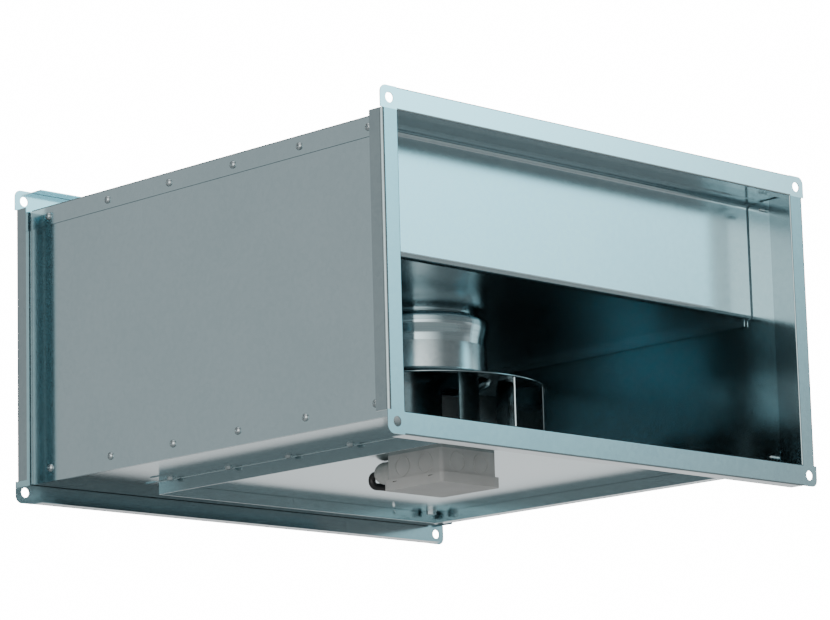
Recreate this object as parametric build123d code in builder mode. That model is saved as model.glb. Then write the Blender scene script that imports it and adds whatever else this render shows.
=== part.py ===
"""Inline duct fan for a 600 x 300 mm rectangular duct, with a backward-curved impeller.

The origin is the centre of the outlet flange's front face. +X runs across the duct, +Y runs
into the casing against the air flow, and +Z is up. The service cover is underneath.
"""
import os

from math import cos, radians, sin, tan

from build123d import *

os.makedirs("parts", exist_ok=True)

# Duct and casing
duct_width = 600.0
duct_height = 300.0
casing_length = 575.0
sheet = 1.0
half_width = duct_width / 2
half_height = duct_height / 2
bend_radius = 1.5
mid_plane = Plane(origin=(0, casing_length / 2, 0), z_dir=(0, 1, 0))

# Flanges: rails across, stiles between them
flange_face = 23.0
flange_inner_z = half_height - sheet
flange_outer_z = flange_inner_z + flange_face
stile_inner_x = half_width - sheet
stile_outer_x = 321.0
ear_outer_x = 322.5
ear_corner_radius = 8.0
rail_lip_half_length = half_width
lip_depth = 18.0
flange_bend = 1.0
stile_lip_bend = 3.0
rail_leg_depth = 15.0
stile_leg_depth = 30.0
flange_hole_radius = 5.25
flange_hole_x = 310.0
flange_hole_z = 160.0

# Casing panels and their screws
panel_start = 4.5
cover_skirt = 21.5
floor_flange = 23.0
floor_flange_end = 30.5
screw_first_y = 38.5
screw_pitch_y = 100.6
screw_rows_y = [screw_first_y + i * screw_pitch_y for i in range(6)]
upper_screw_z = 139.0
lower_screw_z = -136.5
screw_shank_radius = 1.9
screw_hole_radius = 2.1
screw_length = 11.0
screw_point_length = 2.5
pan_head_radius = 4.2
pan_head_height = 2.6
pan_crown_radius = 2.3
recess_width = 0.9
recess_span = 4.6
recess_depth = 1.4

# Partition between the suction and pressure chambers
partition_half_width = 297.9
outlet_plate_y = 62.0
inlet_plate_y = 512.0
shelf_z = 20.0
partition_tab = 21.0
partition_side_tab = 6.5
partition_radius = 6.0
side_tab_inset = 9.0

# Impeller and inlet nozzle
axis_y = 286.0
impeller_radius = 140.0
impeller_rim_z = -61.0
collar_radius = 77.5
collar_top_z = -16.0
shroud_foot_z = -51.5
blade_count = 12
blade_tip_radius = 137.6
blade_root_radius = 90.0
blade_first_angle = 3.8
blade_root_lead = 28.0
blade_thickness = 1.2
blade_sagitta = 3.7
backplate_top_z = -126.0
shroud_bend = 8.0
rim_bead_radius = 1.1
throat_radius = 66.0
shelf_hole_radius = 66.5
cup_shoulder_radius = 80.5
cup_waist_radius = 76.8
cup_foot_radius = 74.5
cup_shoulder_z = 15.5
cup_foot_z = -22.0
cup_shoulder_length = 12.0
cup_foot_length = 14.0
bead_drop = 1.2
bead_width = 2.0
bead_proud = 1.4
bellmouth_radius = 98.0
bellmouth_roll_radius = 84.0
bellmouth_height = 9.0
spigot_foot_z = 8.0

# Motor
rotor_radius = 51.0
rotor_top_z = -70.0
rotor_bottom_z = -138.0
rotor_wall = 3.0
rotor_flange_radius = 64.0
rotor_flange_thickness = 2.0
rotor_boss_depth = 14.0
rotor_boss_wall = 5.0
rotor_crown_radius = 4.0
rotor_core_height = 38.0
rotor_core_lift = 12.0
air_gap = 0.5
rivet_circle = 58.0
rivet_count = 8
rivet_shank_radius = 2.0
rivet_head_radius = 3.8
rivet_head_height = 1.2
stator_radius = 43.5
shaft_radius = 6.0
bearing_radius = 16.0
bearing_height = 10.0
bearing_ring = 3.0
bearing_shield_depth = 1.0
running_gap = 0.03
hub_flange_radius = 46.0
hub_flange_thickness = 9.5
hub_tube_radius = 20.0
hub_top_z = -86.0
hub_floor = 2.0
stud_circle = 35.0
stud_count = 4
stud_radius = 2.5
stud_end_length = 7.0
stud_nut_hex = 8.0
stud_nut_height = 4.0
slot_count = 24
slot_depth = 11.0
slot_bore = 3.6
slot_mouth = 1.4
core_height = 34.0
winding_width = 14.0
winding_height = 9.0

# Service cover and the frame around it
floor_bottom_z = -half_height - sheet
body_gap = 0.3
gasket_thickness = 1.0
gasket_inset = 1.5
cover_thickness = 1.5
gasket_top_z = floor_bottom_z - body_gap
cover_top_z = gasket_top_z - gasket_thickness
cover_bottom_z = cover_top_z - cover_thickness
cover_half_width = 206.5
cover_near_y = 21.5
cover_far_y = 471.0
opening_corner_radius = 12.0
opening_half_width = 178.0
opening_near_y = 45.0
opening_far_y = 449.0
rail_web_x = 208.0
rail_ledge = 24.0
ledge_mitre = 12.0
rail_drop = 15.0
near_web_y = 19.5
far_web_y = 472.5
rail_screw_x = 215.5
rail_screw_rows_y = [72.0 + i * 93.2 for i in range(5)]
bolt_x = 190.0
bolt_rows_y = (33.0, 460.0)
bolt_radius = 3.0
bolt_length = 11.0
bolt_hex = 10.0
bolt_head_height = 4.0
bolt_washer_radius = 6.5
bolt_washer_height = 1.0
weld_nut_hex = 11.0
weld_nut_height = 5.0
frame_slot_length = 9.0
frame_slot_width = 2.0
frame_slot_inset = 3.6
frame_slot_lead = 12.0
far_ledge = 22.0
earth_hole_x = 142.0
earth_hole_radius = 2.5

# Terminal box
box_x = -97.0
box_y = 155.0
box_width = 80.0
box_wall = 2.0
box_corner_radius = 4.0
box_screw_offset = 32.0
box_screw_radius = 1.9
box_screw_head_radius = 3.6
box_screw_head_height = 2.2
box_screw_length = 6.0
box_screw_hole_radius = 2.0
lid_width = 85.0
lid_height = 11.0
lid_floor = 2.5
lid_lap = 3.5
lid_bottom_z = -190.0
lid_slot_offset = 26.0
lid_slot_lift = 8.3
lid_slot_length = 6.0
lid_slot_height = 1.0
knockout_z = -167.0
knockout_offset = 16.5
knockout_radii = (4.0, 7.0, 10.0)
knockout_ridge = 0.9
knockout_proud = 0.5
way_count = 6
way_pitch = 8.0
block_y = box_y - 22.0
block_depth = 16.0
block_height = 12.0
way_recess = 3.0
barrier_width = 1.5
clamp_screw_radius = 2.2
clamp_screw_height = 2.0
clamp_row_pitch = 7.0
capacitor_radius = 11.0
capacitor_length = 56.0
gland_x = -113.0
gland_z = -166.3
gland_radius = 11.5
gland_collar_length = 6.0
gland_neck_length = 2.0
gland_dome_length = 9.0
gland_mouth_wall = 2.4
gland_thread_radius = 8.0
gland_thread_length = 4.0
locknut_hex = 20.0
locknut_height = 2.0
gland_end_y = 232.0
lead_radius = 3.8
lead_largest_bend = 9.0
lead_loop_y = 242.5
lead_loop_drop = 11.0
lead_lift = 5.4
lead_box_length = 14.0
grommet_x = -86.0
grommet_y = 238.0
grommet_hole_radius = 10.0
grommet_bore = 8.4
grommet_lip_radius = 12.0
grommet_inner_lip_radius = 11.0
grommet_lip_height = 3.0

centre = Location((0, axis_y, 0))
standing = (Align.CENTER, Align.CENTER, Align.MIN)
hanging = (Align.CENTER, Align.CENTER, Align.MAX)


def save(part, label):
    """Labels a finished piece and writes it to its own file."""
    part.label = label
    export_step(part, f"parts/{label}.step")


def side_points(points, distance):
    """Moves a run of straight lines sideways, and gives the turn at each corner too."""
    normals = []
    for start, end in zip(points, points[1:]):
        run = Vector(*end) - Vector(*start)
        normals.append(Vector(-run.Y, run.X).normalized())
    moved = [Vector(*points[0]) + normals[0] * distance]
    turns = []
    for corner, first, second in zip(points[1:], normals, normals[1:]):
        mitre = (first + second) / (1 + first.dot(second))
        moved.append(Vector(*corner) + mitre * distance)
        turns.append(first.X * second.Y - first.Y * second.X)
    moved.append(Vector(*points[-1]) + normals[-1] * distance)
    return moved, turns


def sheet_section(plane, points, bends):
    """Draws the section of a bent sheet, whose middle line runs through the points.

    bends is the middle line's radius at each corner, or one radius for them all.
    """
    if not isinstance(bends, (list, tuple)):
        bends = [bends] * (len(points) - 2)
    with BuildSketch(plane) as section:
        with BuildLine():
            ends = []
            for distance in (sheet / 2, -sheet / 2):
                edge_points, turns = side_points(points, distance)
                radii = [
                    bend - distance if turn > 0 else bend + distance
                    for bend, turn in zip(bends, turns)
                ]
                FilletPolyline(*edge_points, radius=radii)
                ends.append((edge_points[0], edge_points[-1]))
            Line(ends[0][0], ends[1][0])
            Line(ends[0][1], ends[1][1])
        make_face()
    return section.sketch


# ---------------------------------------------------------------- flanges
with BuildPart() as outlet_top_rail:
    section = sheet_section(
        Plane.YZ.offset(-rail_lip_half_length),
        [
            (rail_leg_depth, flange_inner_z + sheet / 2),
            (sheet / 2, flange_inner_z + sheet / 2),
            (sheet / 2, flange_outer_z - sheet / 2),
            (lip_depth, flange_outer_z - sheet / 2),
        ],
        flange_bend,
    )
    extrude(section, amount=2 * rail_lip_half_length)
    # The ears: a flat strip past the folded length, with the corner bolt holes
    with BuildSketch(Plane.XZ) as ear_strip:
        with Locations((0, (flange_inner_z + flange_outer_z) / 2)):
            Rectangle(2 * ear_outer_x, flange_face)
        fillet(ear_strip.vertices().group_by(Axis.Y)[-1], ear_corner_radius)
        with Locations((0, (flange_inner_z + flange_outer_z) / 2)):
            Rectangle(2 * rail_lip_half_length, flange_face, mode=Mode.SUBTRACT)
    extrude(amount=-sheet)
    with BuildSketch(Plane.XZ):
        with Locations((-flange_hole_x, flange_hole_z), (flange_hole_x, flange_hole_z)):
            Circle(flange_hole_radius)
    extrude(amount=-sheet, mode=Mode.SUBTRACT)

with BuildPart() as outlet_bottom_rail:
    mirror(outlet_top_rail.part, about=Plane.XY)

with BuildPart() as outlet_right_stile:
    section = sheet_section(
        Plane.XY.offset(-flange_inner_z),
        [
            (stile_inner_x + sheet / 2, stile_leg_depth),
            (stile_inner_x + sheet / 2, sheet / 2),
            (stile_outer_x - sheet / 2, sheet / 2),
            (stile_outer_x - sheet / 2, lip_depth),
        ],
        [flange_bend, stile_lip_bend],
    )
    extrude(section, amount=2 * flange_inner_z)

with BuildPart() as outlet_left_stile:
    mirror(outlet_right_stile.part, about=Plane.YZ)

outlet_flange = {
    "top_rail": outlet_top_rail,
    "bottom_rail": outlet_bottom_rail,
    "right_stile": outlet_right_stile,
    "left_stile": outlet_left_stile,
}
for piece_name, piece in outlet_flange.items():
    save(piece.part, f"outlet_{piece_name}")
    with BuildPart() as inlet_piece:
        mirror(piece.part, about=mid_plane)
    save(inlet_piece.part, f"inlet_{piece_name}")

# ---------------------------------------------------------------- casing panels
panel_length = casing_length - 2 * panel_start
upper_screw_places = [(y, upper_screw_z) for y in screw_rows_y]
lower_screw_places = [(y, lower_screw_z) for y in screw_rows_y]


def side_holes(places):
    """Cuts screw holes right across the casing, through both sides."""
    with BuildSketch(Plane.YZ.offset(-half_width - 5 * sheet)) as holes:
        with Locations(*places):
            Circle(screw_hole_radius)
    extrude(holes.sketch, amount=duct_width + 10 * sheet, mode=Mode.SUBTRACT)


with BuildPart() as top_cover:
    skirt_x = half_width + 1.5 * sheet
    skirt_z = half_height + sheet - cover_skirt
    roof_z = half_height + sheet / 2
    section = sheet_section(
        Plane.XZ.offset(-panel_start),
        [(-skirt_x, skirt_z), (-skirt_x, roof_z), (skirt_x, roof_z), (skirt_x, skirt_z)],
        bend_radius,
    )
    extrude(section, amount=-panel_length)
    side_holes(upper_screw_places)
save(top_cover.part, "top_cover")

wall_top_z = half_height - bend_radius
wall_middle_z = (wall_top_z + floor_bottom_z) / 2
with BuildPart() as right_wall:
    with BuildSketch(Plane.YZ.offset(half_width)):
        with Locations((casing_length / 2, wall_middle_z)):
            Rectangle(panel_length, wall_top_z - floor_bottom_z)
        with Locations(*upper_screw_places, *lower_screw_places):
            Circle(screw_hole_radius, mode=Mode.SUBTRACT)
    extrude(amount=sheet)
save(right_wall.part, "right_wall")

with BuildPart() as left_wall:
    mirror(right_wall.part, about=Plane.YZ)
save(left_wall.part, "left_wall")

with BuildPart() as floor_panel:
    tray_x = half_width - sheet / 2
    tray_z = -half_height - sheet / 2
    tray_edge_z = -half_height + floor_flange
    section = sheet_section(
        Plane.XZ.offset(-panel_start),
        [(-tray_x, tray_edge_z), (-tray_x, tray_z), (tray_x, tray_z), (tray_x, tray_edge_z)],
        bend_radius,
    )
    extrude(section, amount=-panel_length)
    # The side flanges stop short of the duct flanges' legs
    notch_length = floor_flange_end - panel_start
    with BuildSketch(Plane.XY.offset(-half_height)):
        with Locations(
            (0, panel_start + notch_length / 2),
            (0, casing_length - panel_start - notch_length / 2),
        ):
            Rectangle(duct_width, notch_length)
    extrude(amount=floor_flange, mode=Mode.SUBTRACT)
    # Service opening, the cover bolts' holes and the rails' screw holes
    with BuildSketch(Plane.XY.offset(floor_bottom_z)):
        with Locations((0, (opening_near_y + opening_far_y) / 2)):
            RectangleRounded(
                2 * opening_half_width,
                opening_far_y - opening_near_y,
                opening_corner_radius,
            )
        with Locations(*[(x, y) for x in (-bolt_x, bolt_x) for y in bolt_rows_y]):
            Circle(bolt_radius + body_gap)
        with Locations(*[(x, y) for x in (-rail_screw_x, rail_screw_x) for y in rail_screw_rows_y]):
            Circle(screw_hole_radius)
    extrude(amount=sheet, mode=Mode.SUBTRACT)
    side_holes(lower_screw_places)
save(floor_panel.part, "floor_panel")

# ---------------------------------------------------------------- screws
with BuildPart() as pan_screw:
    with BuildSketch(Plane.XZ):
        with BuildLine():
            crown_edge = (pan_crown_radius, pan_head_height)
            head_edge = (pan_head_radius, 0)
            RadiusArc(crown_edge, head_edge, pan_head_height * 1.3)
            Polyline(
                head_edge,
                (screw_shank_radius, 0),
                (screw_shank_radius, screw_point_length - screw_length),
                (0, -screw_length),
                (0, pan_head_height),
                crown_edge,
            )
        make_face()
    revolve(axis=Axis.Z)
    # Cross recess
    with BuildSketch(Plane.XY.offset(pan_head_height)):
        Rectangle(recess_span, recess_width)
        Rectangle(recess_width, recess_span)
    extrude(amount=-recess_depth, mode=Mode.SUBTRACT)

with BuildPart() as side_screws:
    # Out of the left and right sides; the upper row sits on the top cover's skirt
    for side in (-1, 1):
        for places, seat in (
            (upper_screw_places, half_width + 2 * sheet),
            (lower_screw_places, half_width + sheet),
        ):
            for y, z in places:
                head_plane = Plane(origin=(side * seat, y, z), z_dir=(side, 0, 0))
                with Locations(head_plane):
                    add(pan_screw.part)
save(side_screws.part, "side_screws")

# ---------------------------------------------------------------- partition
with BuildPart() as partition:
    tab_z = half_height - sheet / 2
    plate_y = outlet_plate_y + sheet / 2
    shelf_mid_z = shelf_z + sheet / 2
    section = sheet_section(
        Plane.YZ.offset(-partition_half_width),
        [
            (outlet_plate_y - partition_tab, tab_z),
            (plate_y, tab_z),
            (plate_y, shelf_mid_z),
            (inlet_plate_y, shelf_mid_z),
        ],
        partition_radius,
    )
    extrude(section, amount=2 * partition_half_width)
    # Down-turned tabs along both side walls
    tab_start_y = outlet_plate_y + side_tab_inset
    tab_length = inlet_plate_y - side_tab_inset - tab_start_y
    with BuildSketch(Plane.XY.offset(shelf_z)):
        with Locations(
            (-partition_half_width + sheet / 2, tab_start_y + tab_length / 2),
            (partition_half_width - sheet / 2, tab_start_y + tab_length / 2),
        ):
            Rectangle(sheet, tab_length)
    extrude(amount=-partition_side_tab)
    with BuildSketch(Plane.XY.offset(shelf_z)):
        with Locations((0, axis_y)):
            Circle(shelf_hole_radius)
    extrude(amount=sheet, mode=Mode.SUBTRACT)
save(partition.part, "partition")

with BuildPart() as inlet_baffle:
    baffle_y = inlet_plate_y + sheet / 2
    section = sheet_section(
        Plane.YZ.offset(-partition_half_width),
        [
            (inlet_plate_y - partition_tab, shelf_z - sheet / 2),
            (baffle_y, shelf_z - sheet / 2),
            (baffle_y, -half_height + sheet / 2),
            (inlet_plate_y + partition_tab, -half_height + sheet / 2),
        ],
        partition_radius,
    )
    extrude(section, amount=2 * partition_half_width)
    # Corner cut-outs for the side tabs above
    with BuildSketch(Plane.XY.offset(shelf_z)):
        with Locations((-partition_half_width, inlet_plate_y), (partition_half_width, inlet_plate_y)):
            Rectangle(6 * sheet, 2 * (partition_tab + 2 * sheet))
    extrude(amount=-partition_side_tab - 2 * sheet, mode=Mode.SUBTRACT)
save(inlet_baffle.part, "inlet_baffle")

# ---------------------------------------------------------------- inlet nozzle
with BuildPart() as nozzle_cup:
    # A spun ring under the shelf: a beaded neck around the spigot, a round shoulder and a skirt
    # that narrows into the impeller's collar
    neck_radius = throat_radius + sheet / 2 + body_gap
    neck_top_z = shelf_z - 0.1
    bead_edge_z = neck_top_z - bead_drop
    section = sheet_section(
        Plane.XZ,
        [
            (neck_radius, neck_top_z),
            (neck_radius, bead_edge_z),
            (neck_radius + bead_proud, bead_edge_z - bead_width / 2),
            (neck_radius, bead_edge_z - bead_width),
            (neck_radius, cup_shoulder_z),
            (cup_shoulder_radius - sheet / 2, cup_shoulder_z),
            (cup_shoulder_radius - sheet, cup_shoulder_z - cup_shoulder_length),
            (cup_waist_radius - sheet / 2, cup_foot_z + cup_foot_length),
            (cup_foot_radius - sheet / 2, cup_foot_z),
        ],
        [0.55, 0.55, 0.55, 0.55, 5.5, 12.0, 30.0],
    )
    revolve(section, axis=Axis.Z)
nozzle_cup_part = centre * nozzle_cup.part
save(nozzle_cup_part, "nozzle_cup")

spigot_radius = throat_radius - sheet / 2
with BuildPart() as inlet_bellmouth:
    # The flared mouth on top of the shelf, with a spigot down through the hole
    with BuildSketch(Plane.XZ):
        with BuildLine():
            FilletPolyline(
                (bellmouth_radius, shelf_z + 1.5 * sheet),
                (bellmouth_roll_radius, shelf_z + 1.5 * sheet),
                (bellmouth_roll_radius, shelf_z + bellmouth_height),
                (spigot_radius, shelf_z + bellmouth_height),
                (spigot_radius, spigot_foot_z),
                radius=bellmouth_height / 3,
            )
        trace(line_width=sheet)
    revolve(axis=Axis.Z)
inlet_bellmouth_part = centre * inlet_bellmouth.part
save(inlet_bellmouth_part, "inlet_bellmouth")

# ---------------------------------------------------------------- impeller
with BuildPart() as impeller_shroud:
    with BuildSketch(Plane.XZ):
        with BuildLine():
            FilletPolyline(
                (impeller_radius - 1, impeller_rim_z),
                (collar_radius, shroud_foot_z),
                (collar_radius, collar_top_z),
                radius=shroud_bend,
            )
        trace(line_width=sheet)
        # Rolled rim
        with Locations((impeller_radius - rim_bead_radius, impeller_rim_z)):
            Circle(rim_bead_radius)
    revolve(axis=Axis.Z)
impeller_shroud_part = centre * impeller_shroud.part
save(impeller_shroud_part, "impeller_shroud")


def polar_point(radius, angle):
    """A point in the plane of the impeller, from its radius and angle in degrees."""
    return (radius * cos(radians(angle)), radius * sin(radians(angle)))


with BuildSketch() as blade_section:
    with BuildLine():
        blade_tip = polar_point(blade_tip_radius, 0)
        blade_root = polar_point(blade_root_radius, blade_root_lead)
        SagittaArc(blade_tip, blade_root, -blade_sagitta)
    trace(line_width=blade_thickness)

shroud_slope = (shroud_foot_z - impeller_rim_z) / (impeller_radius - 1 - collar_radius)
with BuildPart() as impeller_blades:
    # Each blade is a rolled strip, standing on the backplate and leaning back from the spin
    with BuildSketch(Plane.XY.offset(backplate_top_z)):
        with PolarLocations(0, blade_count, start_angle=blade_first_angle):
            add(blade_section.sketch)
    extrude(amount=shroud_foot_z - backplate_top_z)
    # The upper edge follows the underside of the shroud
    with BuildSketch(Plane.XZ):
        with BuildLine():
            edge_z = impeller_rim_z - sheet * 0.85
            root_x = blade_root_radius - 5
            tip_x = impeller_radius
            root_edge_z = edge_z + shroud_slope * (impeller_radius - 1 - root_x)
            Polyline(
                (root_x, backplate_top_z),
                (tip_x, backplate_top_z),
                (tip_x, edge_z),
                (root_x, root_edge_z),
                close=True,
            )
        make_face()
    revolve(axis=Axis.Z, mode=Mode.INTERSECT)
impeller_blades_part = centre * impeller_blades.part
save(impeller_blades_part, "impeller_blades")

with BuildPart() as impeller_backplate:
    with BuildSketch(Plane.XY.offset(backplate_top_z)):
        Circle(impeller_radius)
        Circle(rotor_radius, mode=Mode.SUBTRACT)
        with PolarLocations(rivet_circle, rivet_count):
            Circle(rivet_shank_radius, mode=Mode.SUBTRACT)
    extrude(amount=-sheet)
impeller_backplate_part = centre * impeller_backplate.part
save(impeller_backplate_part, "impeller_backplate")

with BuildPart() as rotor_cup:
    rotor_flange_z = backplate_top_z - sheet
    flange_underside_z = rotor_flange_z - rotor_flange_thickness
    boss_radius = shaft_radius + rotor_boss_wall
    bore_radius = rotor_radius - rotor_wall
    with BuildSketch(Plane.XZ):
        with BuildLine():
            Polyline(
                (shaft_radius, rotor_top_z - rotor_boss_depth),
                (shaft_radius, rotor_top_z),
                (rotor_radius, rotor_top_z),
                (rotor_radius, rotor_flange_z),
                (rotor_flange_radius, rotor_flange_z),
                (rotor_flange_radius, flange_underside_z),
                (rotor_radius, flange_underside_z),
                (rotor_radius, rotor_bottom_z),
                (bore_radius, rotor_bottom_z),
                (bore_radius, rotor_top_z - rotor_wall),
                (boss_radius, rotor_top_z - rotor_wall),
                (boss_radius, rotor_top_z - rotor_boss_depth),
                close=True,
            )
        make_face()
    revolve(axis=Axis.Z)
    top_rim = rotor_cup.edges().filter_by(GeomType.CIRCLE).filter_by(
        lambda edge: abs(edge.radius - rotor_radius) < 0.1 and edge.center().Z > rotor_top_z - 1
    )
    fillet(top_rim, rotor_crown_radius)
    with Locations(Plane.XY.offset(rotor_flange_z)):
        with PolarLocations(rivet_circle, rivet_count):
            Hole(rivet_shank_radius, depth=rotor_flange_thickness)
rotor_cup_part = centre * rotor_cup.part
save(rotor_cup_part, "rotor_cup")

with BuildPart() as impeller_rivets:
    with Locations(Plane.XY.offset(backplate_top_z)):
        with PolarLocations(rivet_circle, rivet_count):
            Cylinder(rivet_head_radius, rivet_head_height, align=standing)
            Cylinder(rivet_shank_radius, sheet + rotor_flange_thickness, align=hanging)
    with Locations(Plane.XY.offset(flange_underside_z)):
        with PolarLocations(rivet_circle, rivet_count):
            Cylinder(rivet_head_radius - rivet_head_height / 2, rivet_head_height, align=hanging)
impeller_rivets_part = centre * impeller_rivets.part
save(impeller_rivets_part, "impeller_rivets")

with BuildPart() as rotor_core:
    with BuildSketch(Plane.XY.offset(rotor_bottom_z + rotor_core_lift)):
        Circle(rotor_radius - rotor_wall)
        Circle(stator_radius + air_gap, mode=Mode.SUBTRACT)
    extrude(amount=rotor_core_height)
rotor_core_part = centre * rotor_core.part
save(rotor_core_part, "rotor_core")

hub_flange_top_z = cover_top_z + hub_flange_thickness
shaft_bottom_z = hub_flange_top_z + 2.5
with BuildPart() as motor_shaft:
    with Locations((0, 0, shaft_bottom_z)):
        Cylinder(
            shaft_radius,
            rotor_top_z - shaft_bottom_z,
            align=standing,
        )
    chamfer(motor_shaft.edges(), 0.8)
motor_shaft_part = centre * motor_shaft.part
save(motor_shaft_part, "motor_shaft")

# ---------------------------------------------------------------- stator and bearings
lower_bearing_z = hub_flange_top_z + 2 * hub_floor
upper_bearing_z = hub_top_z - bearing_height
with BuildPart() as stator_hub:
    # Cast flange on the cover with the bearing tube standing on it
    with BuildSketch(Plane.XZ):
        hub_profile = [
            (0, cover_top_z),
            (hub_flange_radius, cover_top_z),
            (hub_flange_radius, hub_flange_top_z),
            (hub_tube_radius, hub_flange_top_z),
            (hub_tube_radius, hub_top_z),
            (bearing_radius, hub_top_z),
            (bearing_radius, upper_bearing_z),
            (bearing_radius - hub_floor, upper_bearing_z),
            (bearing_radius - hub_floor, lower_bearing_z + bearing_height),
            (bearing_radius, lower_bearing_z + bearing_height),
            (bearing_radius, lower_bearing_z),
            (bearing_radius - 2 * hub_floor, lower_bearing_z),
            (bearing_radius - 2 * hub_floor, hub_flange_top_z - hub_floor),
            (0, hub_flange_top_z - hub_floor),
        ]
        with BuildLine():
            Polyline(*hub_profile, close=True)
        make_face()
    revolve(axis=Axis.Z)
    with Locations(Plane.XY.offset(hub_flange_top_z)):
        with PolarLocations(stud_circle, stud_count, start_angle=45):
            Hole(stud_radius + 0.1)
save(centre * stator_hub.part, "stator_hub")

with BuildPart() as bearing:
    # Inner and outer rings with the balls between them and a shield on each side
    with BuildSketch(Plane.XY):
        Circle(bearing_radius)
        Circle(bearing_radius - bearing_ring, mode=Mode.SUBTRACT)
        Circle(shaft_radius + bearing_ring)
        Circle(shaft_radius + running_gap, mode=Mode.SUBTRACT)
    extrude(amount=bearing_height)
    with BuildSketch(Plane.XY.offset(bearing_shield_depth)):
        Circle(bearing_radius - bearing_ring)
        Circle(shaft_radius + bearing_ring, mode=Mode.SUBTRACT)
    extrude(amount=bearing_height - 2 * bearing_shield_depth)

bearing_heights = {"lower_bearing": lower_bearing_z, "upper_bearing": upper_bearing_z}
for bearing_name, bearing_z in bearing_heights.items():
    save(Location((0, axis_y, bearing_z)) * bearing.part, bearing_name)

core_bottom_z = rotor_bottom_z + rotor_core_lift + (rotor_core_height - core_height) / 4
with BuildPart() as stator_core:
    with BuildSketch(Plane.XY.offset(core_bottom_z)):
        Circle(stator_radius)
        Circle(hub_tube_radius, mode=Mode.SUBTRACT)
        slot_middle = stator_radius - slot_mouth - slot_depth / 2
        with PolarLocations(slot_middle, slot_count):
            SlotOverall(slot_depth, slot_bore, mode=Mode.SUBTRACT)
        # The slots' narrow mouths, open to the air gap
        with PolarLocations(stator_radius, slot_count):
            Rectangle(slot_bore + slot_mouth, slot_mouth, mode=Mode.SUBTRACT)
    extrude(amount=core_height)
save(centre * stator_core.part, "stator_core")

with BuildPart() as stator_windings:
    # The end turns above and below the core
    winding_middle = stator_radius - 2 - winding_width / 2
    for winding_z in (
        core_bottom_z - winding_height / 2,
        core_bottom_z + core_height + winding_height / 2,
    ):
        with BuildSketch(Plane.XZ):
            with Locations((winding_middle, winding_z)):
                RectangleRounded(winding_width, winding_height, winding_height / 3)
        revolve(axis=Axis.Z)
save(centre * stator_windings.part, "stator_windings")

# ---------------------------------------------------------------- service cover
cover_length = cover_far_y - cover_near_y
cover_middle_y = (cover_far_y + cover_near_y) / 2
bolt_places = [(x, y) for x in (-bolt_x, bolt_x) for y in bolt_rows_y]
stud_places = []
for i in range(stud_count):
    stud_x, stud_y = polar_point(stud_circle, 45 + 360 / stud_count * i)
    stud_places.append((stud_x, axis_y + stud_y))
box_screw_sides = (-box_screw_offset, box_screw_offset)
box_screw_places = [(box_x + dx, box_y + dy) for dx in box_screw_sides for dy in box_screw_sides]

with BuildPart() as service_cover:
    with BuildSketch(Plane.XY.offset(cover_bottom_z)):
        with Locations((0, cover_middle_y)):
            RectangleRounded(2 * cover_half_width, cover_length, 2 * cover_thickness)
        with Locations(*bolt_places):
            Circle(bolt_radius + body_gap / 2, mode=Mode.SUBTRACT)
        with Locations((grommet_x, grommet_y)):
            Circle(grommet_hole_radius, mode=Mode.SUBTRACT)
        with Locations(*stud_places):
            Circle(stud_radius, mode=Mode.SUBTRACT)
        with Locations(*box_screw_places):
            Circle(box_screw_hole_radius, mode=Mode.SUBTRACT)
    extrude(amount=cover_thickness)
save(service_cover.part, "service_cover")

with BuildPart() as cover_gasket:
    with BuildSketch(Plane.XY.offset(cover_top_z)):
        with Locations((0, cover_middle_y)):
            Rectangle(2 * (cover_half_width - gasket_inset), cover_length - 2 * gasket_inset)
            Rectangle(
                2 * (opening_half_width + 2 * gasket_inset),
                opening_far_y - opening_near_y + 4 * gasket_inset,
                mode=Mode.SUBTRACT,
            )
        with Locations(*bolt_places):
            Circle(bolt_radius + gasket_inset, mode=Mode.SUBTRACT)
    extrude(amount=gasket_thickness)
save(cover_gasket.part, "cover_gasket")

with BuildPart() as cover_bolts:
    with BuildSketch(Plane.XY.offset(cover_bottom_z)):
        with Locations(*bolt_places):
            Circle(bolt_washer_radius)
    extrude(amount=-bolt_washer_height)
    with BuildSketch(Plane.XY.offset(cover_bottom_z - bolt_washer_height)):
        with Locations(*bolt_places):
            RegularPolygon(bolt_hex / 2, 6, major_radius=False)
    extrude(amount=-bolt_head_height)
    with BuildSketch(Plane.XY.offset(cover_bottom_z)):
        with Locations(*bolt_places):
            Circle(bolt_radius)
    extrude(amount=bolt_length)
save(cover_bolts.part, "cover_bolts")

with BuildPart() as cover_weld_nuts:
    # Hexagon weld nuts on the inside of the floor
    with BuildSketch(Plane.XY.offset(-half_height)):
        with Locations(*bolt_places):
            RegularPolygon(weld_nut_hex / 2, 6, major_radius=False)
            Circle(bolt_radius + 2 * running_gap, mode=Mode.SUBTRACT)
    extrude(amount=weld_nut_height)
save(cover_weld_nuts.part, "cover_weld_nuts")

with BuildPart() as motor_studs:
    # Press-in studs, flush under the cover
    with BuildSketch(Plane.XY.offset(cover_bottom_z)):
        with Locations(*stud_places):
            Circle(stud_radius)
    extrude(amount=hub_flange_top_z + stud_end_length - cover_bottom_z)
save(motor_studs.part, "motor_studs")

with BuildPart() as motor_nuts:
    with BuildSketch(Plane.XY.offset(hub_flange_top_z)):
        with Locations(*stud_places):
            RegularPolygon(stud_nut_hex / 2, 6, major_radius=False)
            Circle(stud_radius, mode=Mode.SUBTRACT)
    extrude(amount=stud_nut_height)
save(motor_nuts.part, "motor_nuts")

# ---------------------------------------------------------------- cover frame
ledge_z = floor_bottom_z - sheet / 2
web_end_z = floor_bottom_z - rail_drop
slot_x = rail_web_x + frame_slot_inset

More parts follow.
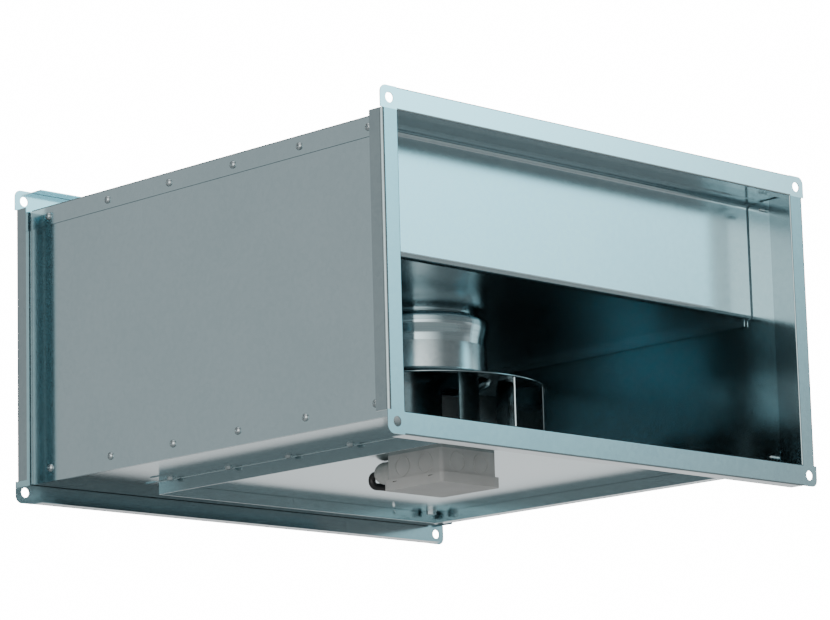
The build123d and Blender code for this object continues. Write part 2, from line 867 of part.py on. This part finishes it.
with BuildPart() as right_rail:
    section = sheet_section(
        Plane.XZ.offset(-near_web_y - sheet),
        [(rail_web_x + rail_ledge, ledge_z), (rail_web_x, ledge_z), (rail_web_x, web_end_z)],
        bend_radius,
    )
    extrude(section, amount=-(far_web_y - near_web_y - 2 * sheet))
    with BuildSketch(Plane.XY.offset(ledge_z - sheet / 2)):
        with Locations(*[(rail_screw_x, y) for y in rail_screw_rows_y]):
            Circle(screw_hole_radius)
        with Locations(*[(slot_x, y - frame_slot_lead) for y in rail_screw_rows_y]):
            Rectangle(frame_slot_width, frame_slot_length)
        # The ledge's outer corners are cut off
        ledge_edge_x = rail_web_x + rail_ledge
        for end_y, inward in ((near_web_y + sheet, 1), (far_web_y - sheet, -1)):
            with BuildLine():
                Polyline(
                    (ledge_edge_x - ledge_mitre, end_y),
                    (ledge_edge_x, end_y),
                    (ledge_edge_x, end_y + inward * ledge_mitre),
                    close=True,
                )
            make_face()
    extrude(amount=sheet, mode=Mode.SUBTRACT)
save(right_rail.part, "right_rail")

with BuildPart() as left_rail:
    mirror(right_rail.part, about=Plane.YZ)
save(left_rail.part, "left_rail")


def cross_rail(web_y, ledge_y):
    """An angle across the casing: a ledge on the floor and a web hanging at web_y."""
    section = sheet_section(
        Plane.YZ.offset(-rail_web_x),
        [(ledge_y, ledge_z), (web_y, ledge_z), (web_y, web_end_z)],
        bend_radius,
    )
    extrude(section, amount=2 * rail_web_x)


with BuildPart() as near_rail:
    cross_rail(near_web_y, 1.5 * sheet)
save(near_rail.part, "near_rail")

with BuildPart() as far_rail:
    cross_rail(far_web_y, far_web_y + far_ledge)
    with BuildSketch(Plane.XZ.offset(-far_web_y - sheet)):
        with Locations((earth_hole_x, floor_bottom_z - rail_drop / 2)):
            Circle(earth_hole_radius)
    extrude(amount=2 * sheet, mode=Mode.SUBTRACT)
save(far_rail.part, "far_rail")

with BuildPart() as rail_screws:
    ledge_bottom_z = ledge_z - sheet / 2
    for x in (-rail_screw_x, rail_screw_x):
        for y in rail_screw_rows_y:
            with Locations(Plane(origin=(x, y, ledge_bottom_z), z_dir=(0, 0, -1))):
                add(pan_screw.part)
save(rail_screws.part, "rail_screws")

# ---------------------------------------------------------------- terminal box
box_edge_z = lid_bottom_z + lid_lap
box_height = cover_bottom_z - box_edge_z
box_inner_width = box_width - 2 * box_wall
with BuildPart() as terminal_box:
    with BuildSketch(Plane.XY.offset(cover_bottom_z)):
        with Locations((box_x, box_y)):
            RectangleRounded(box_width, box_width, box_corner_radius)
    extrude(amount=-box_height)
    with BuildSketch(Plane.XY.offset(cover_bottom_z - box_wall)):
        with Locations((box_x, box_y)):
            RectangleRounded(box_inner_width, box_inner_width, box_corner_radius - box_wall)
    extrude(amount=-box_height, mode=Mode.SUBTRACT)
    # Screw holes up into the cover
    with BuildSketch(Plane.XY.offset(cover_bottom_z)):
        with Locations(*box_screw_places):
            Circle(box_screw_hole_radius)
    extrude(amount=-box_wall, mode=Mode.SUBTRACT)
    # Gland hole in the far side
    with BuildSketch(Plane.XZ.offset(-box_y - box_width / 2)):
        with Locations((gland_x, gland_z)):
            Circle(gland_thread_radius)
    extrude(amount=box_wall, mode=Mode.SUBTRACT)
    # Knock-out rings on the other three sides
    for side_plane in (
        Plane(origin=(box_x - box_width / 2, box_y, knockout_z), x_dir=(0, 1, 0), z_dir=(-1, 0, 0)),
        Plane(origin=(box_x + box_width / 2, box_y, knockout_z), x_dir=(0, 1, 0), z_dir=(1, 0, 0)),
        Plane(origin=(box_x, box_y - box_width / 2, knockout_z), x_dir=(1, 0, 0), z_dir=(0, -1, 0)),
    ):
        with BuildSketch(side_plane):
            with Locations((-knockout_offset, 0), (knockout_offset, 0)):
                for ring_radius in knockout_radii:
                    Circle(ring_radius + knockout_ridge / 2)
                    Circle(ring_radius - knockout_ridge / 2, mode=Mode.SUBTRACT)
        extrude(amount=knockout_proud)
save(terminal_box.part, "terminal_box")

with BuildPart() as terminal_lid:
    lid_inner_width = lid_width - 2 * box_wall
    slot_z = lid_bottom_z + lid_slot_lift
    with BuildSketch(Plane.XY.offset(lid_bottom_z)):
        with Locations((box_x, box_y)):
            RectangleRounded(lid_width, lid_width, box_corner_radius)
    extrude(amount=lid_height)
    with BuildSketch(Plane.XY.offset(lid_bottom_z + lid_floor)):
        with Locations((box_x, box_y)):
            RectangleRounded(lid_inner_width, lid_inner_width, box_corner_radius)
    extrude(amount=lid_height, mode=Mode.SUBTRACT)
    fillet(terminal_lid.faces().sort_by(Axis.Z)[0].edges(), 0.8)
    # Release slots along the two long sides
    with BuildSketch(Plane.YZ.offset(box_x - lid_width)):
        with Locations((box_y - lid_slot_offset, slot_z), (box_y + lid_slot_offset, slot_z)):
            Rectangle(lid_slot_length, lid_slot_height)
    extrude(amount=2 * lid_width, mode=Mode.SUBTRACT)
save(terminal_lid.part, "terminal_lid")

box_roof_z = cover_bottom_z - box_wall
with BuildPart() as terminal_screws:
    for x, y in box_screw_places:
        with Locations(Plane(origin=(x, y, box_roof_z), z_dir=(0, 0, -1))):
            Cylinder(box_screw_head_radius, box_screw_head_height, align=standing)
            Cylinder(box_screw_radius, box_screw_length, align=hanging)
save(terminal_screws.part, "terminal_screws")

with BuildPart() as terminal_block:
    # A strip of screw terminals with barriers between the ways
    with BuildSketch(Plane.XY.offset(box_roof_z)):
        with Locations((box_x, block_y)):
            Rectangle(way_count * way_pitch, block_depth)
    extrude(amount=-block_height)
    with BuildSketch(Plane.XY.offset(box_roof_z - block_height)):
        with Locations((box_x, block_y)):
            with GridLocations(way_pitch, 1, way_count, 1):
                Rectangle(way_pitch - barrier_width, block_depth - 2)
    extrude(amount=way_recess, mode=Mode.SUBTRACT)
save(terminal_block.part, "terminal_block")

with BuildPart() as block_screws:
    with BuildSketch(Plane.XY.offset(box_roof_z - block_height + way_recess)):
        with Locations((box_x, block_y)):
            with GridLocations(way_pitch, clamp_row_pitch, way_count, 2):
                Circle(clamp_screw_radius)
    extrude(amount=-clamp_screw_height)
save(block_screws.part, "block_screws")

with BuildPart() as capacitor:
    capacitor_z = box_roof_z - capacitor_radius
    with BuildSketch(Plane.YZ.offset(box_x - capacitor_length / 2)):
        with Locations((box_y + 6, capacitor_z)):
            Circle(capacitor_radius)
    extrude(amount=capacitor_length)
    fillet(capacitor.edges().filter_by(GeomType.CIRCLE), 1.5)
save(capacitor.part, "capacitor")

# ---------------------------------------------------------------- cable entry
box_far_y = box_y + box_width / 2
with BuildPart() as cable_gland:
    # Threaded spigot in the box wall, hexagon flange and ribbed dome nut
    gland_length = gland_end_y - box_far_y
    profile = [
        (lead_radius, -gland_thread_length),
        (gland_thread_radius, -gland_thread_length),
        (gland_thread_radius, 0),
        (gland_radius + 0.7, 0),
        (gland_radius + 0.7, gland_collar_length),
        (gland_radius - 1, gland_collar_length + 0.5),
        (gland_radius - 1, gland_collar_length + gland_neck_length),
        (gland_radius, gland_collar_length + gland_neck_length + 0.5),
        (gland_radius, gland_length - gland_dome_length),
    ]
    with BuildSketch(Plane.XZ):
        with BuildLine():
            Polyline(*profile)
            dome_end = (lead_radius + gland_mouth_wall, gland_length)
            ThreePointArc(profile[-1], (gland_radius - 2.2, gland_length - 3.2), dome_end)
            Polyline(dome_end, (lead_radius, gland_length), profile[0])
        make_face()
    revolve(axis=Axis.Z)
gland_seat = Plane(origin=(gland_x, box_far_y, gland_z), z_dir=(0, 1, 0))
cable_gland_part = gland_seat.location * cable_gland.part
save(cable_gland_part, "cable_gland")

with BuildPart() as gland_locknut:
    with BuildSketch(Plane.XZ.offset(-(box_far_y - box_wall))):
        with Locations((gland_x, gland_z)):
            RegularPolygon(locknut_hex / 2, 6, major_radius=False)
            Circle(gland_thread_radius, mode=Mode.SUBTRACT)
    extrude(amount=locknut_height)
save(gland_locknut.part, "gland_locknut")

lead_inner_z = cover_top_z + lead_lift
hub_entry = Vector(grommet_x, grommet_y - axis_y, 0).normalized() * hub_flange_radius
lead_route = [
    (gland_x, box_far_y - lead_box_length, gland_z),
    (gland_x, lead_loop_y, gland_z),
    (gland_x + 1, lead_loop_y, gland_z - lead_loop_drop),
    (grommet_x, grommet_y, gland_z - lead_loop_drop),
    (grommet_x, grommet_y, lead_inner_z),
    (hub_entry.X, axis_y + hub_entry.Y, lead_inner_z),
]


def turn_radii(route, largest):
    """The arc each corner of a route has room for, up to a largest radius."""
    radii = []
    for i in range(1, len(route) - 1):
        before = Vector(route[i]) - Vector(route[i - 1])
        after = Vector(route[i + 1]) - Vector(route[i])
        turn = radians(before.get_angle(after))
        shorter = min(before.length, after.length)
        radii.append(min(largest, 0.45 * shorter / tan(turn / 2)))
    return radii


lead_radii = turn_radii(lead_route, lead_largest_bend)
print("motor lead bend radii, mm:", [round(radius, 1) for radius in lead_radii])
with BuildPart() as motor_lead:
    with BuildLine() as lead_path:
        FilletPolyline(*lead_route, radius=lead_radii)
    with BuildSketch(Plane(origin=lead_path.line @ 0, z_dir=lead_path.line % 0)):
        Circle(lead_radius)
    sweep()
lead_length = sum(edge.length for edge in lead_path.edges())
print("motor lead length, mm:", round(lead_length, 1))
save(motor_lead.part, "motor_lead")

with BuildPart() as lead_grommet:
    # Rubber grommet with a groove for the cover's edge
    with BuildSketch(Plane.XZ):
        grommet_profile = [
            (grommet_bore, -grommet_lip_height),
            (grommet_lip_radius, -grommet_lip_height),
            (grommet_lip_radius, 0),
            (grommet_hole_radius, 0),
            (grommet_hole_radius, cover_thickness),
            (grommet_inner_lip_radius, cover_thickness),
            (grommet_inner_lip_radius, cover_thickness + 1),
            (grommet_bore, cover_thickness + 1),
        ]
        with BuildLine():
            Polyline(*grommet_profile, close=True)
        make_face()
    revolve(axis=Axis.Z)
save(Location((grommet_x, grommet_y, cover_bottom_z)) * lead_grommet.part, "lead_grommet")
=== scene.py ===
import math

import bmesh
import bpy
from mathutils import Matrix, Vector

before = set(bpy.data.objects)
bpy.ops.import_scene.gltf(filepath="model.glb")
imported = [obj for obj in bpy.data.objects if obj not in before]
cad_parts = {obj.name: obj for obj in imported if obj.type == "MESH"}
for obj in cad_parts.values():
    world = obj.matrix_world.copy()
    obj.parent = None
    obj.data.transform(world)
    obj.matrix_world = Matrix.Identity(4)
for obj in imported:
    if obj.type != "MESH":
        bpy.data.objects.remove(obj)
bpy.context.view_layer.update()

millimetre = 0.001
fullTurn = 2 * math.pi


# camera: on the outlet side, below the casing and looking up at it
cameraLook = {
    "place": (-2.586, -2.331, -0.693),
    "heading": 44.66,  # degrees from +Y towards +X
    "climb": 11.13,  # degrees above the horizon
    "roll": -1.52,
    "lens": 149.64,
    "sensor": 36.0,
    "farthest": 200.0,
}


def towards(heading, climb):  # a direction from its angles, heading counted from +Y towards +X
    heading, climb = math.radians(heading), math.radians(climb)
    level = math.cos(climb)
    return (math.sin(heading) * level, math.cos(heading) * level, math.sin(climb))


def makeCamera(look):
    heading, roll = math.radians(look["heading"]), math.radians(look["roll"])
    ahead = Vector(towards(look["heading"], look["climb"]))
    level = Vector((math.cos(heading), -math.sin(heading), 0.0))
    upward = level.cross(ahead)
    right = math.cos(roll) * level + math.sin(roll) * upward
    top = right.cross(ahead)
    turn = Matrix((right, top, -ahead)).transposed()
    data = bpy.data.cameras.new("fanCamera")
    data.lens = look["lens"]
    data.sensor_width = look["sensor"]
    data.clip_end = look["farthest"]
    camera = bpy.data.objects.new("fanCamera", data)
    camera.matrix_world = Matrix.Translation(Vector(look["place"])) @ turn.to_4x4()
    bpy.context.scene.collection.objects.link(camera)
    bpy.context.scene.camera = camera


makeCamera(cameraLook)
print("camera ready")


# colours and nodes
def hexColour(text):
    channels = [int(text[i:i + 2], 16) / 255 for i in (1, 3, 5)]
    linear = [c / 12.92 if c <= 0.04045 else ((c + 0.055) / 1.055) ** 2.4 for c in channels]
    return (*linear, 1.0)


def addNode(tree, kind, inputs=None, links=None, **settings):
    made = tree.nodes.new(kind)
    for name, value in settings.items():
        setattr(made, name, value)
    for name, value in (inputs or {}).items():
        made.inputs[name].default_value = value
    for name, source in (links or {}).items():
        tree.links.new(source, made.inputs[name])
    return made


def startMaterial(name, shaderInputs):
    material = bpy.data.materials.new(name)
    material.use_nodes = True
    tree = material.node_tree
    tree.nodes.clear()
    shader = addNode(tree, "ShaderNodeBsdfPrincipled", shaderInputs)
    addNode(tree, "ShaderNodeOutputMaterial", links={"Surface": shader.outputs["BSDF"]})
    place = addNode(tree, "ShaderNodeTexCoord").outputs["Object"]
    return material, tree, shader, place


def addBump(tree, shader, height, depthMm, strength):
    bump = addNode(
        tree,
        "ShaderNodeBump",
        {"Distance": depthMm * millimetre, "Strength": strength},
        {"Height": height},
    )
    tree.links.new(bump.outputs["Normal"], shader.inputs["Normal"])


def rampColour(tree, factor, look, low, high):  # dark below low, light above high
    ramp = addNode(tree, "ShaderNodeValToRGB", links={"Fac": factor})
    first, last = ramp.color_ramp.elements
    first.position, first.color = low, hexColour(look["dark"])
    last.position, last.color = high, hexColour(look["light"])
    return ramp.outputs["Color"]


def patternScale(sizeMm):  # a texture's scale from the size of one grain or cloud
    return 1 / (sizeMm * millimetre)


def rangeOf(tree, value, low, high, start=0.0, end=1.0):
    mapped = addNode(
        tree,
        "ShaderNodeMapRange",
        {"From Min": start, "From Max": end, "To Min": low, "To Max": high},
        {"Value": value},
    )
    return mapped.outputs["Result"]


# galvanised steel sheet: zinc dipped then skin passed, so a soft mirror with faint crystals
galvanisedLook = {
    "light": "#A9BDC2",
    "dark": "#A3B8BD",
    "spangleMm": 5.0,
    "cloudMm": 90.0,
    "spangleShare": 0.25,  # how much of the mottle is crystals, the rest is clouds
    "roughLow": 0.15,
    "roughHigh": 0.19,
    "waveMm": 160.0,
    "waveDepthMm": 0.4,
}


def galvanisedSteel(name, look):
    material, tree, shader, place = startMaterial(name, {"Metallic": 1.0})
    crystals = addNode(
        tree,
        "ShaderNodeTexVoronoi",
        {"Scale": patternScale(look["spangleMm"])},
        {"Vector": place},
    )
    clouds = addNode(
        tree,
        "ShaderNodeTexNoise",
        {"Scale": patternScale(look["cloudMm"]), "Detail": 3.0},
        {"Vector": place},
    )
    cell = addNode(tree, "ShaderNodeSeparateColor", links={"Color": crystals.outputs["Color"]})
    blend = addNode(
        tree,
        "ShaderNodeMix",
        {"Factor": look["spangleShare"]},
        {"A": clouds.outputs["Fac"], "B": cell.outputs["Red"]},
    )
    mixed = blend.outputs["Result"]
    tree.links.new(rampColour(tree, mixed, look, 0.3, 0.7), shader.inputs["Base Color"])
    roughness = rangeOf(tree, mixed, look["roughLow"], look["roughHigh"])
    tree.links.new(roughness, shader.inputs["Roughness"])
    wave = addNode(
        tree,
        "ShaderNodeTexNoise",
        {"Scale": patternScale(look["waveMm"]), "Detail": 1.0},
        {"Vector": place},
    )
    addBump(tree, shader, wave.outputs["Fac"], look["waveDepthMm"], 0.3)
    return material


galvanised = galvanisedSteel("galvanisedSheet_skinPassed", galvanisedLook)

# the same sheet folded into the flanges, as a lighter copy for the top rails: painted light where they
# face the light, with a slightly lower roughness
flangeLitLook = dict(galvanisedLook, light="#C4D3D7", dark="#BDCDD1", roughLow=0.14, roughHigh=0.18)
flangePaintedLit = galvanisedSteel("galvanisedSheet_flangePaintedLit", flangeLitLook)

# the stiles and bottom rails get a darker copy of the flange sheet, which is painted shade
flangeShadedLook = dict(flangeLitLook, light="#93A4A8", dark="#8C9DA2")
flangePaintedShade = galvanisedSteel("galvanisedSheet_flangePaintedShade", flangeShadedLook)

# partition and baffle: a lighter copy of the sheet, which is painted light, with an even satin
partitionLitLook = dict(galvanisedLook, light="#BCCFD4", dark="#B4C8CE", roughLow=0.19, roughHigh=0.23)
partitionPaintedLit = galvanisedSteel("galvanisedSheet_partitionPaintedLit", partitionLitLook)

# impeller sheet: pressed and balanced, duller than the casing
impellerLook = dict(galvanisedLook, light="#AABABE", dark="#9FB0B5", roughLow=0.16, roughHigh=0.22)
impellerSheet = galvanisedSteel("galvanisedSheet_pressed", impellerLook)

# spun steel nozzle: the tool leaves fine rings and a bright, narrow highlight; the rings are
# about 0.5 mm apart and drawn at 1.6 mm so that they show
spunLook = {
    "light": "#B4C8CD",
    "dark": "#A5BBC1",
    "ringMm": 1.6,
    "ringDepthMm": 0.02,
    "driftMm": 125.0,  # how far a ring runs before it changes tone
    "roughLow": 0.08,
    "roughHigh": 0.13,
}


def spunSteel(name, look):
    material, tree, shader, place = startMaterial(name, {"Metallic": 1.0})
    drift = patternScale(look["driftMm"])
    stretched = addNode(
        tree,
        "ShaderNodeMapping",
        {"Scale": (drift, drift, patternScale(look["ringMm"]))},
        {"Vector": place},
    )
    rings = addNode(
        tree,
        "ShaderNodeTexNoise",
        {"Scale": 1.0, "Detail": 3.0},
        {"Vector": stretched.outputs["Vector"]},
    )
    value = rings.outputs["Fac"]
    tree.links.new(rampColour(tree, value, look, 0.35, 0.65), shader.inputs["Base Color"])
    roughness = rangeOf(tree, value, look["roughLow"], look["roughHigh"])
    tree.links.new(roughness, shader.inputs["Roughness"])
    addBump(tree, shader, value, look["ringDepthMm"], 0.4)
    return material


spunNozzle = spunSteel("mildSteel_spun", spunLook)


# fine grained finishes: moulded plastic, rubber, paint, castings and plating; their real grain is
# 0.05 to 0.2 mm, drawn at about 1 mm so that it shows
def grainedFinish(name, look, shaderInputs):
    material, tree, shader, place = startMaterial(name, shaderInputs)
    grain = addNode(
        tree,
        "ShaderNodeTexNoise",
        {"Scale": patternScale(look["grainMm"]), "Detail": 4.0},
        {"Vector": place},
    )
    clouds = addNode(
        tree,
        "ShaderNodeTexNoise",
        {"Scale": patternScale(look["cloudMm"]), "Detail": 2.0},
        {"Vector": place},
    )
    colour = rampColour(tree, clouds.outputs["Fac"], look, 0.35, 0.65)
    tree.links.new(colour, shader.inputs["Base Color"])
    roughness = rangeOf(tree, grain.outputs["Fac"], look["roughLow"], look["roughHigh"], 0.3, 0.7)
    tree.links.new(roughness, shader.inputs["Roughness"])
    addBump(tree, shader, grain.outputs["Fac"], look["depthMm"], 0.5)
    return material


finishes = {
    # ABS moulded against a spark eroded tool: an even pale grey with a fine matt grain
    "abs_moulded": (
        {"light": "#BEBFBE", "dark": "#B4B5B4", "grainMm": 0.9, "cloudMm": 40,
         "roughLow": 0.48, "roughHigh": 0.62, "depthMm": 0.06},
        {"IOR": 1.53},
    ),
    # polyamide moulded smooth: pale grey and slightly waxy
    "polyamide_moulded": (
        {"light": "#B6B8B6", "dark": "#A8ABA9", "grainMm": 1.2, "cloudMm": 15,
         "roughLow": 0.36, "roughHigh": 0.48, "depthMm": 0.03},
        {"IOR": 1.53},
    ),
    # ivory melamine of the terminal strip and capacitor case
    "melamine_moulded": (
        {"light": "#DAD8CF", "dark": "#CFCCC2", "grainMm": 1.0, "cloudMm": 20,
         "roughLow": 0.30, "roughHigh": 0.42, "depthMm": 0.03},
        {"IOR": 1.55},
    ),
    # PVC jacket, drawn through a die: black with a soft sheen
    "pvc_extruded": (
        {"light": "#1B1B1D", "dark": "#101012", "grainMm": 1.5, "cloudMm": 12,
         "roughLow": 0.32, "roughHigh": 0.44, "depthMm": 0.04},
        {"IOR": 1.52},
    ),
    # rubber moulded: black and dry looking
    "epdm_moulded": (
        {"light": "#1E1E1F", "dark": "#141415", "grainMm": 1.0, "cloudMm": 10,
         "roughLow": 0.6, "roughHigh": 0.8, "depthMm": 0.08},
        {"IOR": 1.52},
    ),
    # zinc plating on pressed screws: bright, bluish and a little cloudy
    "steel_zincPlated": (
        {"light": "#BCC7CA", "dark": "#9FABAF", "grainMm": 1.2, "cloudMm": 4,
         "roughLow": 0.24, "roughHigh": 0.36, "depthMm": 0.03},
        {"Metallic": 1.0},
    ),
    # ground bearing steel: nearly a mirror
    "steel_ground": (
        {"light": "#C6CACC", "dark": "#B4B9BC", "grainMm": 0.8, "cloudMm": 6,
         "roughLow": 0.12, "roughHigh": 0.2, "depthMm": 0.01},
        {"Metallic": 1.0},
    ),
    # aluminium die casting: pale and softly pitted
    "aluminium_dieCast": (
        {"light": "#B3B7B9", "dark": "#A1A6A9", "grainMm": 1.6, "cloudMm": 12,
         "roughLow": 0.38, "roughHigh": 0.52, "depthMm": 0.12},
        {"Metallic": 1.0},
    ),
    # stoving enamel on the rotor: an even satin grey
    "steel_enamelled": (
        {"light": "#7F888B", "dark": "#737C80", "grainMm": 1.4, "cloudMm": 25,
         "roughLow": 0.34, "roughHigh": 0.46, "depthMm": 0.03},
        {"IOR": 1.5},
    ),
    # turned brass clamps of the terminals
    "brass_turned": (
        {"light": "#D9BE74", "dark": "#C4A75C", "grainMm": 0.8, "cloudMm": 4,
         "roughLow": 0.2, "roughHigh": 0.32, "depthMm": 0.02},
        {"Metallic": 1.0},
    ),
}
finish = {name: grainedFinish(name, look, inputs) for name, (look, inputs) in finishes.items()}


# layered finishes: the edges of the stacked laminations and the strands of the windings
def layeredFinish(name, look):
    material, tree, shader, place = startMaterial(name, {"Metallic": 1.0})
    waveRate = 20  # radians of wave per metre at a scale of 1
    bands = addNode(
        tree,
        "ShaderNodeTexWave",
        {"Scale": fullTurn / waveRate * patternScale(look["pitchMm"]), "Distortion": 0.4},
        {"Vector": place},
        bands_direction="Z",
    )
    value = bands.outputs["Fac"]
    tree.links.new(rampColour(tree, value, look, 0.2, 0.8), shader.inputs["Base Color"])
    roughness = rangeOf(tree, value, look["roughHigh"], look["roughLow"])
    tree.links.new(roughness, shader.inputs["Roughness"])
    addBump(tree, shader, value, look["depthMm"], 0.6)
    return material


# electrical steel, stamped and stacked: dark cut edges with a bright line between the sheets, which
# are 0.5 mm thick and drawn at 1 mm so that they show
laminationLook = {"light": "#7C8084", "dark": "#4A4D50", "pitchMm": 1.0, "roughLow": 0.4,
                  "roughHigh": 0.5, "depthMm": 0.1}
laminations = layeredFinish("electricalSteel_stamped", laminationLook)

# enamelled copper wire, wound: brown gloss, with painted shade as dark bands in the gaps between the
# wires; 0.6 mm wire drawn at 1.2 mm
windingGapShadeLook = {"light": "#B8703C", "dark": "#6E3A1C", "pitchMm": 1.2, "roughLow": 0.3,
               "roughHigh": 0.4, "depthMm": 0.1}
windings = layeredFinish("copperWire_enamelled", windingGapShadeLook)
print("materials ready")


# which finish each carried-over node takes
casingSheet = ["top_cover", "left_wall", "right_wall", "floor_panel",
               "left_rail", "right_rail", "near_rail", "far_rail", "service_cover"]
stileParts = [f"{end}_{part}" for end in ("outlet", "inlet")
              for part in ("bottom_rail", "left_stile", "right_stile")]
nodeFinishes = [
    (casingSheet, galvanised),
    (["partition", "inlet_baffle"], partitionPaintedLit),
    (["outlet_top_rail", "inlet_top_rail"], flangePaintedLit),
    (stileParts, flangePaintedShade),
    (["inlet_bellmouth", "nozzle_cup"], spunNozzle),
    (["impeller_shroud", "impeller_blades", "impeller_backplate"], impellerSheet),
    (["side_screws", "rail_screws", "cover_bolts", "cover_weld_nuts", "motor_studs", "motor_nuts",
      "impeller_rivets", "terminal_screws"], finish["steel_zincPlated"]),
    (["rotor_cup"], finish["steel_enamelled"]),
    (["rotor_core", "stator_core"], laminations),
    (["motor_shaft", "upper_bearing", "lower_bearing"], finish["steel_ground"]),
    (["stator_windings"], windings),
    (["stator_hub"], finish["aluminium_dieCast"]),
    (["terminal_box", "terminal_lid"], finish["abs_moulded"]),
    (["terminal_block", "capacitor"], finish["melamine_moulded"]),
    (["block_screws"], finish["brass_turned"]),
    (["cable_gland", "gland_locknut"], finish["polyamide_moulded"]),
    (["motor_lead"], finish["pvc_extruded"]),
    (["lead_grommet", "cover_gasket"], finish["epdm_moulded"]),
]


def paintNodes(choices):
    painted = set()
    for names, material in choices:
        for name in names:
            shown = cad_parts[name]
            shown.data.materials.clear()
            shown.data.materials.append(material)
            painted.add(name)
    left = sorted(set(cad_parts) - painted)
    print("painted", len(painted), "nodes, left over", left)


paintNodes(nodeFinishes)


# studio: a round pale floor below, a white surround and soft light graded by direction
studioLook = {
    "floorZ": -1.2,
    "floorRadius": 4.5,
    "light": "#DCDDDD",
    "dark": "#D7D9D9",
    "mottleMm": 500.0,
    "white": "#FFFFFF",
    "surroundStrength": 16.0,  # what the camera sees behind the fan
    "roomStrength": 0.3,  # the even light that falls on it
}

# broad patches of light in the room: where each one is, the angles from its middle where it starts
# to fade and ends, and how bright it is
lightPatches = [
    # a cool window in front of the outlet, high on the left
    {"heading": 137.0, "climb": 18.0, "inner": 4.0, "outer": 14.0, "strength": 4.3, "colour": "#AAF2FF"},
    {"heading": 128.0, "climb": 5.0, "inner": 2.0, "outer": 20.0, "strength": 0.5, "colour": "#FFFFFF"},
    # the low bright edge mirrored by the underside
    {"heading": 47.0, "climb": -10.0, "inner": 3.0, "outer": 22.0, "strength": 0.95, "colour": "#FFFFFF"},
    # the soft wall mirrored by the left side of the casing
    {"heading": 316.0, "climb": 12.0, "inner": 5.0, "outer": 26.0, "strength": 0.42, "colour": "#FFFFFF"},
    # fill from behind the camera
    {"heading": 235.0, "climb": 0.0, "inner": 5.0, "outer": 60.0, "strength": 2.9, "colour": "#FFFCF8"},
]


def makeFloor(look):
    mesh = bpy.data.meshes.new("studioFloor")
    shape = bmesh.new()
    bmesh.ops.create_circle(shape, cap_ends=True, segments=96, radius=look["floorRadius"])
    shape.to_mesh(mesh)
    shape.free()
    floor = bpy.data.objects.new("studioFloor", mesh)
    floor.location.z = look["floorZ"]
    bpy.context.scene.collection.objects.link(floor)
    material, tree, shader, place = startMaterial("floor_painted", {"Roughness": 0.8})
    mottle = addNode(
        tree, "ShaderNodeTexNoise", {"Scale": patternScale(look["mottleMm"])}, {"Vector": place}
    )
    colour = rampColour(tree, mottle.outputs["Fac"], look, 0.3, 0.7)
    tree.links.new(colour, shader.inputs["Base Color"])
    mesh.materials.append(material)


def makeSurround(look, patches):
    world = bpy.data.worlds.new("studioSurround")
    world.use_nodes = True
    tree = world.node_tree
    tree.nodes.clear()
    direction = addNode(tree, "ShaderNodeTexCoord").outputs["Generated"]
    shown = addNode(
        tree,
        "ShaderNodeBackground",
        {"Color": hexColour(look["white"]), "Strength": look["surroundStrength"]},
    )
    light = addNode(
        tree,
        "ShaderNodeBackground",
        {"Color": hexColour(look["white"]), "Strength": look["roomStrength"]},
    ).outputs["Background"]
    for patch in patches:
        facing = addNode(
            tree,
            "ShaderNodeVectorMath",
            {1: towards(patch["heading"], patch["climb"])},
            {0: direction},
            operation="DOT_PRODUCT",
        )
        edge, middle = (math.cos(math.radians(patch[key])) for key in ("outer", "inner"))
        near = rangeOf(tree, facing.outputs["Value"], 0.0, 1.0, edge, middle)
        soft = addNode(tree, "ShaderNodeMath", {1: 2.0}, {0: near}, operation="POWER")
        bright = addNode(
            tree,
            "ShaderNodeMath",
            {1: patch["strength"]},
            {0: soft.outputs["Value"]},
            operation="MULTIPLY",
        )
        glow = addNode(
            tree,
            "ShaderNodeBackground",
            {"Color": hexColour(patch["colour"])},
            {"Strength": bright.outputs["Value"]},
        )
        light = addNode(
            tree, "ShaderNodeAddShader", links={0: light, 1: glow.outputs["Background"]}
        ).outputs["Shader"]
    seen = addNode(tree, "ShaderNodeLightPath").outputs["Is Camera Ray"]
    both = addNode(
        tree, "ShaderNodeMixShader", links={0: seen, 1: light, 2: shown.outputs["Background"]}
    )
    addNode(tree, "ShaderNodeOutputWorld", links={"Surface": both.outputs["Shader"]})
    bpy.context.scene.world = world


# a soft box overhead lights the top cover and the floor
topBoxLook = {"place": (0.0, 0.3, 3.4), "aim": (0.0, 0.25, 0.0), "size": (3.0, 3.0), "power": 42.0}


def makeSoftBox(name, look):
    data = bpy.data.lights.new(name, "AREA")
    data.shape = "RECTANGLE"
    data.size, data.size_y = look["size"]
    data.energy = look["power"]
    lamp = bpy.data.objects.new(name, data)
    lamp.location = look["place"]
    aim = Vector(look["aim"]) - Vector(look["place"])
    lamp.rotation_euler = aim.to_track_quat("-Z", "Y").to_euler()
    bpy.context.scene.collection.objects.link(lamp)


makeFloor(studioLook)
makeSurround(studioLook, lightPatches)
makeSoftBox("topBox", topBoxLook)
print("studio ready")
